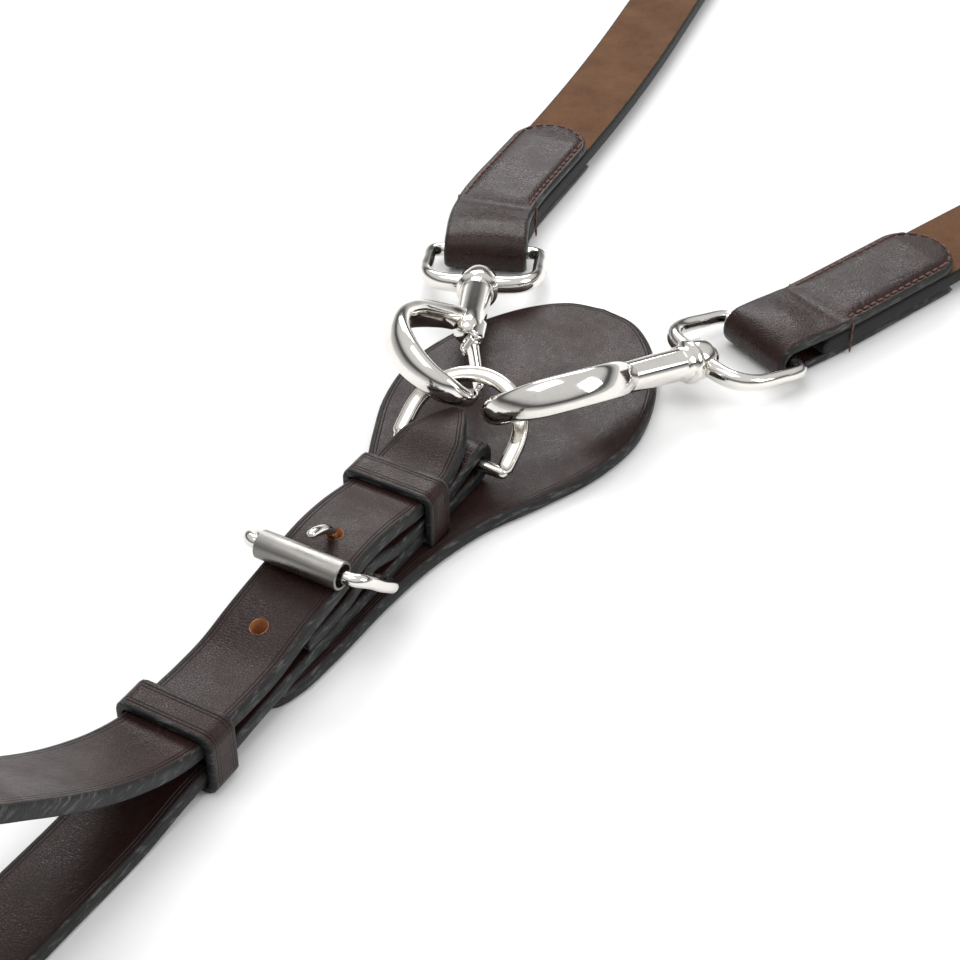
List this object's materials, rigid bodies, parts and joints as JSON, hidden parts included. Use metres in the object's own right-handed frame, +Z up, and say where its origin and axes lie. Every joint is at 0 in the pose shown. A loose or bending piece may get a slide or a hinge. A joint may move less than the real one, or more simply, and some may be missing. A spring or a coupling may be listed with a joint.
{
  "type": "martingale",
  "caption": "Leather hunting martingale: paddle-shaped chest plate, girth strap with roller buckle and loop, ring, and shoulder straps on swivel snap hooks.",
  "frame": {"origin": "on the ground, under the middle of the buckle's roller", "axes": "+Z up from the ground it lies on, +Y along the girth strap towards the chest plate, +X to the right seen from above"},
  "size_m": [0.2984, 0.7249, 0.0854],
  "materials": {
    "leather": "satin",
    "strap_leather": "matte",
    "nickel": "polished",
    "steel": "satin",
    "thread": "matte"
  },
  "bodies": {
    "girth": {"chest_plate": "leather", "chape_strap": "leather", "billet": "leather", "girth_loop": "leather", "upper_keeper": "leather", "buckle_frame": "nickel"},
    "keeper": {"lower_keeper": "leather"},
    "roller": {"roller": "steel"},
    "tongue": {"tongue": "nickel"},
    "ring": {"ring": "nickel"},
    "left_snap": {"left_hook": "nickel", "left_gate_pin": "nickel"},
    "left_gate": {"left_gate": "nickel"},
    "left_eye": {"left_eye": "nickel"},
    "left_shoulder": {"left_chape": "leather", "left_strap": "strap_leather", "left_seam": "thread", "left_end_loop": "leather"},
    "right_snap": {"right_hook": "nickel", "right_gate_pin": "nickel"},
    "right_gate": {"right_gate": "nickel"},
    "right_eye": {"right_eye": "nickel"},
    "right_shoulder": {"right_chape": "leather", "right_strap": "strap_leather", "right_seam": "thread", "right_end_loop": "leather"}
  },
  "joints": [
    {"name": "keeper_slide", "type": "slide", "parent": "girth", "child": "keeper", "axis": [0, 1, 0], "range_m": [0, 0.01]},
    {"name": "roller_spin", "type": "hinge", "parent": "girth", "child": "roller", "pos_m": [0, 0, 0.0266], "axis": [1, 0, 0], "continuous": true},
    {"name": "tongue_lift", "type": "hinge", "parent": "girth", "child": "tongue", "pos_m": [0, 0.017, 0.0119], "axis": [-1, 0, 0], "range_deg": [0, 2.5]},
    {"name": "ring_lift", "type": "hinge", "parent": "girth", "child": "ring", "pos_m": [0, 0.076, 0.0121], "axis": [1, 0, 0], "range_deg": [0, 35]},
    {"name": "left_snap_swing", "type": "hinge", "parent": "ring", "child": "left_snap", "pos_m": [-0.00915, 0.09581, 0.02497], "axis": [0.8027, 0.5002, 0.3248], "range_deg": [0, 12]},
    {"name": "left_gate_open", "type": "hinge", "parent": "left_snap", "child": "left_gate", "pos_m": [-0.01757, 0.12181, 0.01812], "axis": [-0.4064, -0.3534, -0.8426], "range_deg": [0, 3.5], "stiffness_Nm_per_rad": 0.02, "springref_deg": -5.73},
    {"name": "left_swivel", "type": "hinge", "parent": "left_snap", "child": "left_eye", "pos_m": [-0.0355, 0.155, 0.01285], "axis": [0.4162, -0.8925, 0.1736], "continuous": true},
    {"name": "left_strap_lift", "type": "hinge", "parent": "left_eye", "child": "left_shoulder", "pos_m": [-0.05048, 0.18713, 0.0066], "axis": [0.9063, 0.4226, 0], "range_deg": [0, 45]},
    {"name": "right_snap_swing", "type": "hinge", "parent": "ring", "child": "right_snap", "pos_m": [0.01477, 0.09393, 0.02375], "axis": [0.6976, -0.6009, -0.3902], "range_deg": [0, 12]},
    {"name": "right_gate_open", "type": "hinge", "parent": "right_snap", "child": "right_gate", "pos_m": [0.02503, 0.11953, 0.01784], "axis": [-0.5178, 0.3841, 0.7644], "range_deg": [0, 3.5], "stiffness_Nm_per_rad": 0.02, "springref_deg": -5.73},
    {"name": "right_swivel", "type": "hinge", "parent": "right_snap", "child": "right_eye", "pos_m": [0.0425, 0.153, 0.01285], "axis": [-0.4084, -0.8961, 0.1736], "continuous": true},
    {"name": "right_strap_lift", "type": "hinge", "parent": "right_eye", "child": "right_shoulder", "pos_m": [0.0572, 0.18526, 0.0066], "axis": [0.91, -0.4147, 0], "range_deg": [0, 45]}
  ]
}
